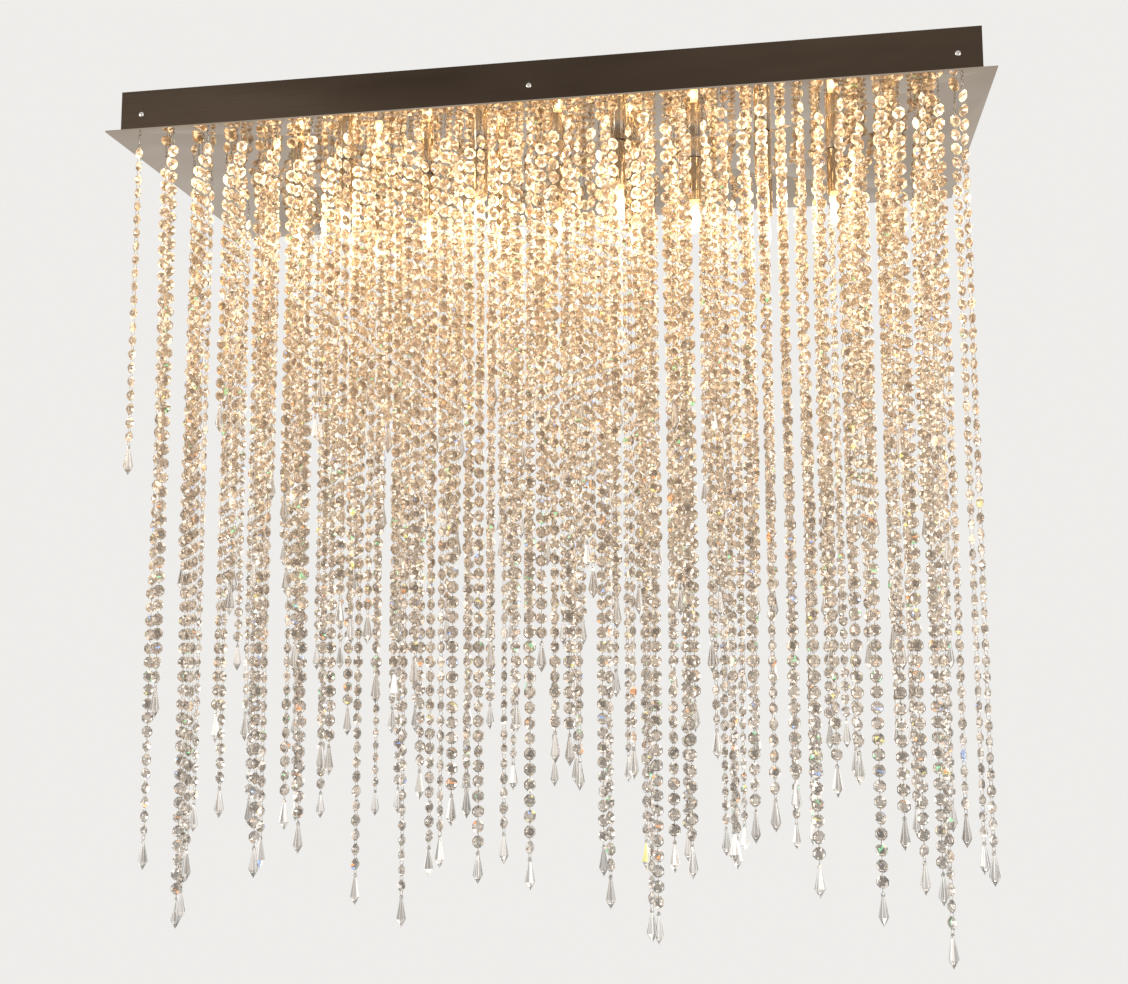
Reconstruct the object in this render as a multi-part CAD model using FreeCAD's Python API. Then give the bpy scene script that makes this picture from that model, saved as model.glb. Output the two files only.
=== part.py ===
import FreeCAD, Part
import math
import os

# Crystal chandelier: a brushed canopy box and a mirror plate under the ceiling, thirteen capsule
# lamps under the plate, and ten rows of bead strands that end in icicle drops.
# Millimetres. +Z is up, +X runs along the box and -Y is the front. The origin is the centre of the
# face that lies against the ceiling, so everything hangs at negative Z.

# ---- canopy box and plate ----
plate_length = 1100.0
plate_depth = 450.0
plate_thickness = 2.0
plate_overhang = 14.0
canopy_height = 56.0
sheet_wall = 1.5
flange_width = 14.0
flange_screw_inset = 6.5     # from the box's inner wall to the flange screws' centre line
flange_screws_along = 4      # screws on each long side
flange_screw_across = 7.0
flange_screw_height = 2.8
earth_stud_radius = 2.0
earth_stud_height = 12.0
earth_nut_across = 7.0
earth_nut_height = 3.2
earth_stud_x = 60.0
earth_stud_y = 40.0

# ---- ceiling frame ----
rail_thickness = 2.0
rail_height = 42.0
rail_shelf = 20.0
bar_thickness = 3.0
bar_width = 30.0
middle_bar_width = 60.0
bar_inset = 136.0            # from the box's end to the middle of each outer cross bar
ceiling_hole_spacing = 300.0
ceiling_hole_radius = 2.75
side_screw_inset = 28.0      # from the box's end to the first side screw
side_screw_drop = 32.0       # from the ceiling to the side screws
side_screw_radius = 1.6
side_screw_reach = 5.0       # length of the shank inside the box wall
side_screw_head = 4.2
side_screw_dome = 2.2

# ---- supply: grommet, terminal block and wiring ----
cord_radius = 4.0
grommet_wall = 2.0
grommet_lip = 2.0
grommet_y = 95.0
block_length = 36.0
block_width = 18.0
block_height = 14.0
block_y = -30.0
terminal_count = 3
terminal_pitch = 10.0
terminal_screw_radius = 2.2
terminal_screw_depth = 4.0
wire_radius = 1.6

# ---- lamps ----
holder_radius = 10.5
holder_wall = 1.2
holder_length = 60.0
stem_across = 9.0
stem_height = 10.0           # of the threaded stem above the plate's underside
stem_nut_across = 14.0
stem_nut_height = 4.0
socket_depth = 16.0
socket_recess = 3.0          # from the holder's rim up to the socket's face
capsule_radius = 7.0
capsule_length = 47.0
capsule_tip = 5.0

# ---- strands ----
rows_per_side = 5            # between the plate's middle and its front or back
row_inset = 20.4             # from the plate's front edge to the first row
columns_per_side = 11        # between the plate's middle and its end
column_inset = 37.4          # from the plate's end to the end column
columns_per_lamp = 4         # column steps from one lamp to the next in its row
chain_length = 16.0          # ring chain between the plate and a strand's first bead
chain_rings = 3
bead_pitch = 17.6
bead_width = 14.0
bead_height = 14.0
bead_thickness = 7.0
bead_table = 7.0             # width of the flat facet on each face of a bead
wire_pin = 1.6
drop_length = 38.0
drop_width = 12.5
drop_neck = 4.0
drop_shoulder = 0.72         # share of the drop's length above its widest ring
outer_drop_sides = 6         # the drops that show from the front and the back
inner_drop_sides = 4
round_sides = 8              # facets round the small repeated turned pieces

# ---- clearances ----
gap = 0.3
thread_gap = 0.05
swing_gap = 0.4              # between the plate and the top link of a strand

# ---- strand lengths, as a number of beads from left to right ----
front_bead_counts = [22, 39, 50, 32, 49, 48, 33, 38, 37, 46, 36, 50,
                     42, 51, 53, 49, 48, 46, 50, 43, 47, 54, 49]
second_bead_counts = [25, 53, 46, 50, 36, 43, 34, 53, 49, 50, 40,
                      42, 31, 43, 49, 36, 47, 45, 44, 52, 50, 47]
third_bead_counts = [50, 54, 41, 30, 47, 43, 52, 38, 50, 46, 49, 36,
                     44, 33, 54, 40, 49, 37, 45, 43, 35, 51, 49]
fewest_bead_count = 16
most_bead_count = 53
length_skew = 1.5            # above 1, short strands are more common than long ones
golden = (math.sqrt(5.0) - 1.0) / 2.0

# ---- worked out from the sizes above ----
box_length = plate_length - 2.0 * plate_overhang
box_depth = plate_depth - 2.0 * plate_overhang
inner_length = box_length - 2.0 * sheet_wall
inner_depth = box_depth - 2.0 * sheet_wall
plate_top = -canopy_height
plate_under = plate_top - plate_thickness
rail_face = inner_depth / 2.0 - gap
bar_offset = box_length / 2.0 - bar_inset
rail_top = -bar_thickness
side_screw_x = box_length / 2.0 - side_screw_inset
column_pitch = (plate_length / 2.0 - column_inset) / columns_per_side
lamp_pitch = columns_per_lamp * column_pitch
row_pitch = (plate_depth / 2.0 - row_inset) / (rows_per_side + 0.5)
lamp_row_spacing = 2.0 * row_pitch
rail_leg_face = rail_face - rail_thickness
screw_line_y = inner_depth / 2.0 - flange_screw_inset
screw_line_x = inner_length / 2.0 - flange_screw_inset

EAST = FreeCAD.Vector(1, 0, 0)
NORTH = FreeCAD.Vector(0, 1, 0)
UP = FreeCAD.Vector(0, 0, 1)


def box(x0, x1, y0, y1, z0, z1):
    return Part.makeBox(x1 - x0, y1 - y0, z1 - z0, FreeCAD.Vector(x0, y0, z0))


def rod(x, y, z, radius, height):
    return Part.makeCylinder(radius, height, FreeCAD.Vector(x, y, z))


def prism(x, y, z, radius, length, sides, along=UP):
    """A bar of so many flats, measured across its flats, from x, y, z along a direction."""
    spread = radius / math.cos(math.pi / sides)
    angles = [2.0 * math.pi * (i + 0.5) / sides for i in range(sides)]
    turn = FreeCAD.Rotation(UP, along)
    corners = [turn.multVec(FreeCAD.Vector(spread * math.cos(a), spread * math.sin(a), 0))
               for a in angles]
    outline = Part.makePolygon([FreeCAD.Vector(x, y, z) + c for c in corners + corners[:1]])
    return Part.Face(outline).extrude(along * length)


def ring_face(points):
    """A face from corner points, closed back to the first one."""
    corners = [FreeCAD.Vector(*point) for point in points]
    return Part.Face(Part.makePolygon(corners + corners[:1]))


def turned(profile, x, y):
    """A turned piece about the vertical axis at x, y, from (radius, height) points, in flats."""
    rings = [polygon(x, y, height, radius, round_sides) for radius, height in profile]
    return faceted(rings)


def hex_nut(x, y, z, across, height, bore):
    return prism(x, y, z, across / 2, height, 6).cut(prism(x, y, z - 1.0, bore, height + 2.0, 6))


def faceted(rings):
    """A solid of flat facets through stacked rings of equally many points; a ring of one point is a tip."""
    faces = []
    for upper, lower in zip(rings, rings[1:]):
        count = max(len(upper), len(lower))
        for i in range(count):
            j = (i + 1) % count
            if len(upper) == 1:
                corners = [upper[0], lower[j], lower[i]]
            elif len(lower) == 1:
                corners = [upper[i], upper[j], lower[0]]
            else:
                corners = [upper[i], upper[j], lower[j], lower[i]]
            faces.append(ring_face(corners))
    faces += [ring_face(ring) for ring in (rings[0], rings[-1]) if len(ring) > 2]
    solid = Part.makeSolid(Part.makeShell(faces))
    if solid.Volume < 0:
        solid.reverse()
    return solid


def save(node, solids):
    shape = solids[0] if len(solids) == 1 else Part.makeCompound(solids)
    shape.exportStep("parts/" + node + ".step")


# ---- canopy box: four walls with an inward flange at the bottom ----
def canopy_box():
    outer = box(-box_length / 2, box_length / 2, -box_depth / 2, box_depth / 2, plate_top, 0)
    space = box(-inner_length / 2, inner_length / 2, -inner_depth / 2, inner_depth / 2,
                plate_top + sheet_wall, 1)
    mouth_x = inner_length / 2 - flange_width
    mouth_y = inner_depth / 2 - flange_width
    mouth = box(-mouth_x, mouth_x, -mouth_y, mouth_y, plate_top - 1, plate_top + sheet_wall + 1)
    shell = outer.cut(space).cut(mouth)
    holes = [prism(x, side * (box_depth / 2 + 1), -side_screw_drop, side_screw_radius + gap,
                   sheet_wall + 2, round_sides, NORTH * -side)
             for x, side in side_screw_places()]
    return shell.cut(Part.makeCompound(holes))


def side_screw_places():
    return [(x, side) for side in (-1, 1) for x in (-side_screw_x, 0.0, side_screw_x)]


def flange_screw_places():
    step = 2.0 * screw_line_x / (flange_screws_along + 1)
    xs = [-screw_line_x + step * (i + 1) for i in range(flange_screws_along)]
    long_sides = [(x, side * screw_line_y) for side in (-1, 1) for x in xs]
    return long_sides + [(-screw_line_x, 0.0), (screw_line_x, 0.0)]


# ---- mirror plate, with a hole for each lamp holder's stem ----
def mirror_plate():
    plate = box(-plate_length / 2, plate_length / 2, -plate_depth / 2, plate_depth / 2,
                plate_under, plate_top)
    holes = [prism(x, y, plate_under - 1, stem_across / 2 + gap, plate_thickness + 2, 6)
             for row in (-1, 0, 1) for x, y in lamp_places(row)]
    return plate.cut(Part.makeCompound(holes))


def flange_screws():
    """The hexagon heads that clamp the box's flange to the plate."""
    return [prism(x, y, plate_top + sheet_wall, flange_screw_across / 2, flange_screw_height, 6)
            for x, y in flange_screw_places()]


def earth_stud():
    return prism(earth_stud_x, earth_stud_y, plate_top, earth_stud_radius, earth_stud_height, 6)


def earth_nut():
    return hex_nut(earth_stud_x, earth_stud_y, plate_top, earth_nut_across, earth_nut_height,
                   earth_stud_radius + thread_gap)


# ---- ceiling frame ----
def frame_rail(side):
    """An angle section along one long wall; the side screws thread into its upright leg."""
    end = inner_length / 2 - gap
    leg = box(-end, end, rail_leg_face, rail_face, -rail_height, rail_top)
    shelf = box(-end, end, rail_face - rail_shelf, rail_face, rail_top - rail_thickness, rail_top)
    rail = leg.fuse(shelf).removeSplitter()
    holes = [prism(x, rail_face + 1, -side_screw_drop, side_screw_radius + thread_gap,
                   rail_thickness + 2, round_sides, NORTH * -1)
             for x in (-side_screw_x, 0.0, side_screw_x)]
    rail = rail.cut(Part.makeCompound(holes))
    return rail if side > 0 else rail.mirror(FreeCAD.Vector(0, 0, 0), NORTH)


def cross_bar(x, width):
    bar = box(x - width / 2, x + width / 2, -rail_face, rail_face, rail_top, 0)
    holes = [rod(x, side * ceiling_hole_spacing / 2, rail_top - 1, ceiling_hole_radius,
                 bar_thickness + 2) for side in (-1, 1)]
    return bar.cut(Part.makeCompound(holes))


def middle_bar():
    bar = box(-middle_bar_width / 2, middle_bar_width / 2, -rail_face, rail_face, rail_top, 0)
    return bar.cut(prism(0, grommet_y, rail_top - 1, cord_radius + grommet_wall,
                         bar_thickness + 2, round_sides))


def side_screw(x, side):
    """A low dome head outside the wall and a shank through the wall into the rail."""
    face = side * box_depth / 2
    steps = [(side_screw_head * 0.55, side_screw_dome), (side_screw_head, 0.0)]
    rings = [[(px, face + side * height, pz) for px, pz in
              round_points(x, -side_screw_drop, radius, round_sides)] for radius, height in steps]
    head = faceted(rings)
    shank = prism(x, face, -side_screw_drop, side_screw_radius, side_screw_reach, round_sides,
                  NORTH * -side)
    return head.fuse(shank)


def side_screws():
    return [side_screw(x, side) for x, side in side_screw_places()]


# ---- supply parts inside the box ----
def cord_grommet():
    sleeve = cord_radius + grommet_wall
    body = prism(0, grommet_y, rail_top, sleeve, bar_thickness - gap, round_sides)
    lip = prism(0, grommet_y, rail_top - grommet_lip, sleeve + grommet_lip, grommet_lip, round_sides)
    bore = rod(0, grommet_y, rail_top - grommet_lip - 1, cord_radius,
               grommet_lip + bar_thickness + 2)
    return body.fuse(lip).cut(bore)


def terminal_places():
    first = -(terminal_count - 1) / 2.0
    return [((first + i) * terminal_pitch, block_y) for i in range(terminal_count)]


def terminal_block():
    low = rail_top - block_height
    body = box(-block_length / 2, block_length / 2, block_y - block_width / 2,
               block_y + block_width / 2, low, rail_top)
    wells = [prism(x, y, low - 1, terminal_screw_radius + gap, terminal_screw_depth + 1, round_sides)
             for x, y in terminal_places()]
    return body.cut(Part.makeCompound(wells))


def terminal_screws():
    low = rail_top - block_height
    return [prism(x, y, low + 1, terminal_screw_radius, terminal_screw_depth - 1, round_sides)
            for x, y in terminal_places()]


def lamp_wiring():
    """A run of wire over each row of stems, and a trunk across them up to the terminal block."""
    run_z = plate_under + stem_height + wire_radius + gap
    runs = []
    for row in (-1, 0, 1):
        places = lamp_places(row)
        first, last = places[0][0], places[-1][0]
        runs.append(prism(first - stem_across / 2, places[0][1], run_z, wire_radius,
                          last - first + stem_across, 6, EAST))
    trunk_z = run_z + 2 * wire_radius + gap
    trunk = prism(0, -lamp_row_spacing - stem_across / 2, trunk_z, wire_radius,
                  2 * lamp_row_spacing + stem_across, 6, NORTH)
    riser_z = trunk_z + wire_radius + gap
    riser = prism(0, block_y + block_width / 2 - 2 * wire_radius, riser_z, wire_radius,
                  rail_top - block_height - gap - riser_z, 6)
    return runs + [trunk, riser]


# ---- lamps ----
def lamp_places(row):
    """Five lamps in the middle row, four in the rows beside it, half a pitch across."""
    count = 5 if row == 0 else 4
    first = -(count - 1) / 2.0
    return [((first + i) * lamp_pitch, row * lamp_row_spacing) for i in range(count)]


def lamp_holder(x, y):
    """A turned cup on a threaded stem with flats that goes up through the plate."""
    rim = plate_under - holder_length
    ceiling = plate_under - 2 * holder_wall
    bore = holder_radius - holder_wall
    cup = turned([(holder_radius, plate_under), (holder_radius, rim)], x, y)
    cup = cup.cut(turned([(bore, ceiling), (bore, rim - 1)], x, y))
    return cup.fuse(prism(x, y, plate_under, stem_across / 2, stem_height, 6))


def stem_nut(x, y):
    return hex_nut(x, y, plate_top, stem_nut_across, stem_nut_height, stem_across / 2 + thread_gap)


def socket_face():
    return plate_under - holder_length + socket_recess


def lamp_socket(x, y):
    """A ceramic plug in the cup's mouth that takes the lamp's two pins."""
    plug = holder_radius - holder_wall - gap
    return turned([(plug, socket_face() + socket_depth), (plug, socket_face())], x, y)


def lamp_capsule(x, y):
    top = socket_face() - gap
    tip = top - capsule_length
    return turned([(capsule_radius, top), (capsule_radius, tip + capsule_tip),
                   (capsule_radius * 0.55, tip)], x, y)


# ---- strands ----
def row_from_edge(row):
    """Rows are numbered from the front; this counts from the nearer long edge, from 1."""
    return min(row, 2 * rows_per_side + 1 - row)


def row_y(row):
    """The innermost rows hang midway between two lamp rows, the others half a pitch past them."""
    from_edge = row_from_edge(row)
    steps = 1.0 if from_edge == rows_per_side else rows_per_side + 1.5 - from_edge
    return (-steps if row <= rows_per_side else steps) * row_pitch


def row_columns(row):
    """The x of each strand of a row. Every second row, and the innermost, is half a step across,
    so that no strand hangs straight in front of a lamp that is close to it."""
    from_edge = row_from_edge(row)
    if from_edge % 2 and from_edge < rows_per_side:
        return [k * column_pitch for k in range(-columns_per_side, columns_per_side + 1)]
    return [(k + 0.5) * column_pitch for k in range(-columns_per_side, columns_per_side)]


def bead_count(row, index):
    """The three front rows have set counts; the others spread by the golden ratio."""
    if row == 1:
        count = front_bead_counts[index % len(front_bead_counts)]
    elif row == 2:
        count = second_bead_counts[index % len(second_bead_counts)]
    elif row == 3:
        count = third_bead_counts[index % len(third_bead_counts)]
    else:
        spread = (index * golden + row * golden * golden) % 1.0
        span = most_bead_count - fewest_bead_count
        count = fewest_bead_count + span * spread ** length_skew
    return int(round(count))


def square(x, y, z, half_x, half_y):
    return [(x - half_x, y - half_y, z), (x + half_x, y - half_y, z),
            (x + half_x, y + half_y, z), (x - half_x, y + half_y, z)]


def round_points(a, b, radius, sides):
    turn = 2.0 * math.pi / sides
    return [(a + radius * math.cos(turn * (i + 0.5)), b + radius * math.sin(turn * (i + 0.5)))
            for i in range(sides)]


def polygon(x, y, z, radius, sides):
    return [(px, py, z) for px, py in round_points(x, y, radius, sides)]


def string_bottom(beads):
    return plate_under - chain_length - beads * bead_pitch


def bead_string(x, y, beads):
    """The envelope of a ring chain and its beads: a narrow top link that widens to the beads."""
    top = plate_under - swing_gap
    return faceted([square(x, y, top, wire_pin / 2, wire_pin / 2),
                    square(x, y, plate_under - chain_length, bead_width / 2, bead_thickness / 2),
                    square(x, y, string_bottom(beads), bead_width / 2, bead_thickness / 2)])


def icicle_drop(x, y, top, sides, necked):
    """A long prism that widens from its neck, or from a point, to a shoulder and ends in a point."""
    neck = polygon(x, y, top, drop_neck / 2, sides) if necked else [(x, y, top)]
    shoulder = polygon(x, y, top - drop_length * drop_shoulder, drop_width / 2, sides)
    return faceted([neck, shoulder, [(x, y, top - drop_length)]])


# ---- the corner strand, with each bead, link and ring as its own solid ----
def octagon(x, y, z, width, height):
    """Eight points in the plane of a bead's face, at depth y."""
    turn = 2.0 * math.pi / 8
    reach = 0.5 / math.cos(turn / 2)
    return [(x + width * reach * math.sin(turn * (i + 0.5)), y,
             z + height * reach * math.cos(turn * (i + 0.5))) for i in range(8)]


def lens_bead(x, y, z):
    """An octagonal lens: a flat table on each face and eight sloping facets out to the girdle."""
    half = bead_thickness / 2
    table = bead_table / bead_width
    return faceted([octagon(x, y - half, z, bead_width * table, bead_height * table),
                    octagon(x, y, z, bead_width, bead_height),
                    octagon(x, y + half, z, bead_width * table, bead_height * table)])


def wire_link(x, y, z):
    """The bent pin between two beads."""
    span = bead_pitch - bead_height
    return box(x - wire_pin / 2, x + wire_pin / 2, y - wire_pin / 2, y + wire_pin / 2,
               z - span / 2, z + span / 2)


def chain_ring(x, y, top, height, across):
    """An oblong ring bent from wire, open in the middle, its plane turned by a quarter."""
    half = wire_pin / 2
    width = wire_pin * 3
    size_x, size_y = (width, wire_pin) if across else (wire_pin, width)
    outer = box(x - size_x / 2, x + size_x / 2, y - size_y / 2, y + size_y / 2, top - height, top)
    hole_x, hole_y = (half, width) if across else (width, half)
    return outer.cut(box(x - hole_x, x + hole_x, y - hole_y, y + hole_y,
                         top - height + wire_pin, top - wire_pin))


def corner_strand(x, y, beads):
    top = plate_under - swing_gap
    height = (chain_length - swing_gap) / chain_rings
    chain = [chain_ring(x, y, top - i * height, height, i % 2 == 0) for i in range(chain_rings)]
    first = plate_under - chain_length - bead_height / 2
    lenses = [lens_bead(x, y, first - i * bead_pitch) for i in range(beads)]
    links = [wire_link(x, y, first - (i + 0.5) * bead_pitch) for i in range(beads)]
    return chain, lenses, links


# ---- write every node ----
def save_lamp_row(name, row):
    places = lamp_places(row)
    save("lamp_holders_" + name, [lamp_holder(x, y) for x, y in places])
    save("stem_nuts_" + name, [stem_nut(x, y) for x, y in places])
    save("lamp_sockets_" + name, [lamp_socket(x, y) for x, y in places])
    save("lamp_capsules_" + name, [lamp_capsule(x, y) for x, y in places])


def save_corner_strand(x, y, beads):
    chain, lenses, links = corner_strand(x, y, beads)
    save("corner_chain", chain)
    save("corner_beads", lenses)
    save("corner_links", links)
    save("corner_drop", [icicle_drop(x, y, string_bottom(beads) - gap, round_sides, True)])


def save_strand_row(row):
    y = row_y(row)
    from_edge = row_from_edge(row)
    sides = outer_drop_sides if from_edge == 1 else inner_drop_sides
    strands = [(x, bead_count(row, index)) for index, x in enumerate(row_columns(row))]
    if row == 1:
        corner_x, corner_count = strands.pop(0)
        save_corner_strand(corner_x, y, corner_count)
    save("strand_row_%02d" % row, [bead_string(x, y, beads) for x, beads in strands])
    save("drop_row_%02d" % row, [icicle_drop(x, y, string_bottom(beads) - gap, sides, from_edge < 3)
                                 for x, beads in strands])


save("canopy_box", [canopy_box()])
save("mirror_plate", [mirror_plate()])
save("flange_screws", flange_screws())
save("earth_stud", [earth_stud()])
save("earth_nut", [earth_nut()])
save("frame_rail_front", [frame_rail(-1)])
save("frame_rail_back", [frame_rail(1)])
save("cross_bar_left", [cross_bar(-bar_offset, bar_width)])
save("cross_bar_right", [cross_bar(bar_offset, bar_width)])
save("cross_bar_middle", [middle_bar()])
save("side_screws", side_screws())
save("cord_grommet", [cord_grommet()])
save("terminal_block", [terminal_block()])
save("terminal_screws", terminal_screws())
save("lamp_wiring", lamp_wiring())
for name, lamp_row in (("front", -1), ("middle", 0), ("back", 1)):
    save_lamp_row(name, lamp_row)
for strand_row in range(1, 2 * rows_per_side + 1):
    save_strand_row(strand_row)
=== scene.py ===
import math

import bmesh
import bpy
import numpy as np
from mathutils import Matrix, Quaternion, Vector


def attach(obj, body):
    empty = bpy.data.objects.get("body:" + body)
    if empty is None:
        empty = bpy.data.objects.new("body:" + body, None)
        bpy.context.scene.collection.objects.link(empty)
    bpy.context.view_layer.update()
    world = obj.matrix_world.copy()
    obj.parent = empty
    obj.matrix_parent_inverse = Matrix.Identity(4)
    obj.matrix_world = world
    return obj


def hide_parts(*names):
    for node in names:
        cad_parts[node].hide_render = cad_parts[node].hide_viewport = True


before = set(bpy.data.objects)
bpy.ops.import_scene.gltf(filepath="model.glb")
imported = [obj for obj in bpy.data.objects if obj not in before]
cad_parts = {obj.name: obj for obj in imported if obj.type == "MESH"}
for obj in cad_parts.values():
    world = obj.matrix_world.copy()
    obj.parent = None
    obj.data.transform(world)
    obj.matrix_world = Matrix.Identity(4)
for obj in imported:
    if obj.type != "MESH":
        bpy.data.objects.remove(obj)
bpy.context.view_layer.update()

# ---- sizes, in metres ----
plate_under = -0.058
row_count = 10
strand_gap = 0.015           # strands of one row stand further apart than this
hang_gap = 0.0004            # from the plate to a strand's first ring
chain_length = 0.016
chain_overlap = 0.0012
chain_links = 3
ring_width = 0.0036
ring_wire = 0.00045
hook_rise = 0.0002           # from the plate's underside up to a hook's middle
hook_squash = 0.62           # how much of a ring's height a hook has
bead_width = 0.014
bead_thickness = 0.007
bead_table = 0.0070
bead_pitch = 0.0176
bead_hole = 0.0022           # from a bead's edge to the hole that its pin goes through
pin_width = 0.0046
pin_wire = 0.0004
drop_length = 0.038
drop_width = 0.0125
drop_cap = 0.0022            # from a drop's top down to the widest part of its cap
drop_neck = 0.0050
drop_shoulder = 0.72         # as a share of its length
drop_edge = 0.0004           # width that is polished off a drop's edges
drop_gap = 0.0003            # from a strand's lower end to its drop
holder_top = -0.0583
holder_floor = -0.0950
holder_rim = -0.118
holder_radius = 0.0105
holder_groove = 0.0102
holder_bore = 0.0092
core_radius = 0.0020         # where the cup's floor and the socket's top close
stem_radius = 0.0046
stem_root = 0.0041
stem_height = 0.0100
stem_threads = 20
socket_top = -0.0990
socket_face = -0.115
socket_radius = 0.0089
lamp_top = -0.1153
lamp_tip = -0.1623
lamp_middle = -0.140
pinch_length = 0.0110        # of the flat part of a lamp's glass
lead_spread = 0.0028
lead_top = -0.1150
lead_end = -0.1332
lead_wire = 0.00035
coil_top = -0.1335
coil_pitch = 0.0011
coil_turns = 16
screw_rise = 0.0022          # of a side screw's head from the box's wall
floor_level = -3.4
floor_size = 15.0
lamp_rows = ("front", "middle", "back")

dice = np.random.default_rng(27)


# ---- camera at the photograph's angle ----
def set_camera():
    camera = bpy.data.objects.new("camera", bpy.data.cameras.new("camera"))
    bpy.context.scene.collection.objects.link(camera)
    camera.location = (0.2996, -1.7396, -0.7214)
    camera.data.lens = 42.43
    camera.data.sensor_width = 36.0
    camera.data.clip_start = 0.01
    camera.rotation_mode = "QUATERNION"
    forward = Vector((-0.1649, 0.9789, 0.1198))
    camera.rotation_quaternion = forward.to_track_quat("-Z", "Y") @ Quaternion((0, 0, 1), -0.0033)
    bpy.context.scene.camera = camera


set_camera()


# ---- working in edit mode ----
def deselect_all():
    """Leaves edit mode too, so that the next step starts with nothing selected."""
    if bpy.context.mode != "OBJECT":
        bpy.ops.object.mode_set(mode="OBJECT")
    bpy.ops.object.select_all(action="DESELECT")


def select_only(piece):
    deselect_all()
    piece.select_set(True)
    bpy.context.view_layer.objects.active = piece


def start_edit(piece):
    select_only(piece)
    bpy.ops.object.mode_set(mode="EDIT")
    bpy.ops.mesh.select_mode(type="VERT")


def pick_points(piece, wanted):
    """Selects the points whose place passes the test, and the faces between them."""
    bpy.ops.mesh.select_all(action="DESELECT")
    cage = bmesh.from_edit_mesh(piece.data)
    for point in cage.verts:
        point.select = wanted(point.co)
    cage.select_flush(True)
    bmesh.update_edit_mesh(piece.data)


def end_edit():
    """Turns every face outward on the way out."""
    bpy.ops.mesh.select_all(action="SELECT")
    bpy.ops.mesh.normals_make_consistent(inside=False)
    bpy.ops.object.mode_set(mode="OBJECT")


def smooth_over(piece, degrees):
    select_only(piece)
    bpy.ops.object.shade_smooth_by_angle(angle=math.radians(degrees))


def cut_across(place, normal):
    """Cuts new edges where a plane crosses the piece that's being edited."""
    bpy.ops.mesh.select_all(action="SELECT")
    bpy.ops.mesh.bisect(plane_co=place, plane_no=normal)


def turned(name, profile, sides):
    """A turned piece on the Z axis: a disc that is extruded and scaled from point to point."""
    radius, height = profile[0]
    deselect_all()
    bpy.ops.mesh.primitive_circle_add(vertices=sides, radius=radius, fill_type="NGON",
                                      location=(0, 0, height))
    piece = bpy.context.active_object
    piece.name = name
    bpy.ops.object.transform_apply()
    start_edit(piece)
    bpy.ops.mesh.select_all(action="SELECT")
    for next_radius, next_height in profile[1:]:
        step = (0, 0, next_height - height)
        bpy.ops.mesh.extrude_region_move(TRANSFORM_OT_translate={"value": step})
        share = next_radius / radius
        bpy.ops.transform.resize(value=(share, share, 1))
        radius, height = next_radius, next_height
    end_edit()
    return piece


def copy_to(pattern, name, turns, places):
    """One piece from turned copies of a pattern, each at its place."""
    shape = pattern.data
    points = np.array([point.co for point in shape.vertices])
    corners = np.array([loop.vertex_index for loop in shape.loops])
    starts = np.array([face.loop_start for face in shape.polygons])
    count = len(places)
    spread = np.einsum("cij,pj->cpi", np.array(turns), points) + np.array(places)[:, None, :]
    index = np.arange(count)[:, None]
    mesh = bpy.data.meshes.new(name)
    mesh.vertices.add(count * len(points))
    mesh.vertices.foreach_set("co", spread.ravel())
    mesh.loops.add(count * len(corners))
    mesh.loops.foreach_set("vertex_index", (corners + index * len(points)).ravel())
    mesh.polygons.add(count * len(starts))
    mesh.polygons.foreach_set("loop_start", (starts + index * len(corners)).ravel())
    mesh.update(calc_edges=True)
    mesh.validate()
    piece = bpy.data.objects.new(name, mesh)
    bpy.context.scene.collection.objects.link(piece)
    return piece


def put_away(pattern):
    """Removes a pattern or cutter once its copies are made."""
    mesh = pattern.data
    bpy.data.objects.remove(pattern)
    bpy.data.meshes.remove(mesh)


def upright(count):
    """The turns of copies that aren't turned."""
    return [np.eye(3)] * count


def turn_about_z(angle):
    return np.array(Matrix.Rotation(angle, 3, "Z"))


def own_copy(node, name):
    """A separate copy of a CAD solid with its loose triangles joined."""
    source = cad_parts[node]
    piece = bpy.data.objects.new(name, source.data.copy())
    bpy.context.scene.collection.objects.link(piece)
    piece.data.materials.clear()
    start_edit(piece)
    bpy.ops.mesh.select_all(action="SELECT")
    bpy.ops.mesh.remove_doubles(threshold=0.00002)
    bpy.ops.mesh.dissolve_limited(angle_limit=math.radians(1))
    end_edit()
    return piece


def solid_boxes(node):
    """The lowest and highest corner of each solid of a CAD node."""
    piece = own_copy(node, "apart")
    start_edit(piece)
    bpy.ops.mesh.select_all(action="SELECT")
    bpy.ops.mesh.separate(type="LOOSE")
    bpy.ops.object.mode_set(mode="OBJECT")
    boxes = []
    for solid in list(bpy.context.selected_objects):
        points = np.array([point.co for point in solid.data.vertices])
        boxes.append((points.min(axis=0), points.max(axis=0)))
        put_away(solid)
    return sorted(boxes, key=lambda box: tuple(box[0]))


# ---- finishes ----
noise_low, noise_high = 0.3, 0.7      # where nearly all of a noise's values lie


def new_finish(name, colour, metal=0.0, roughness=0.4):
    finish = bpy.data.materials.new(name)
    finish.use_nodes = True
    shader = finish.node_tree.nodes["Principled BSDF"]
    shader.inputs["Base Color"].default_value = (*colour, 1)
    shader.inputs["Metallic"].default_value = metal
    shader.inputs["Roughness"].default_value = roughness
    return finish, finish.node_tree, shader


def grain(tree, scale, stretch=(1, 1, 1), detail=3.0):
    """Noise over the piece's own coordinates, stretched along its grain."""
    place = tree.nodes.new("ShaderNodeTexCoord")
    mapping = tree.nodes.new("ShaderNodeMapping")
    mapping.inputs["Scale"].default_value = stretch
    noise = tree.nodes.new("ShaderNodeTexNoise")
    noise.inputs["Scale"].default_value = scale
    noise.inputs["Detail"].default_value = detail
    tree.links.new(place.outputs["Object"], mapping.inputs["Vector"])
    tree.links.new(mapping.outputs["Vector"], noise.inputs["Vector"])
    return noise.outputs["Fac"]


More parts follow.
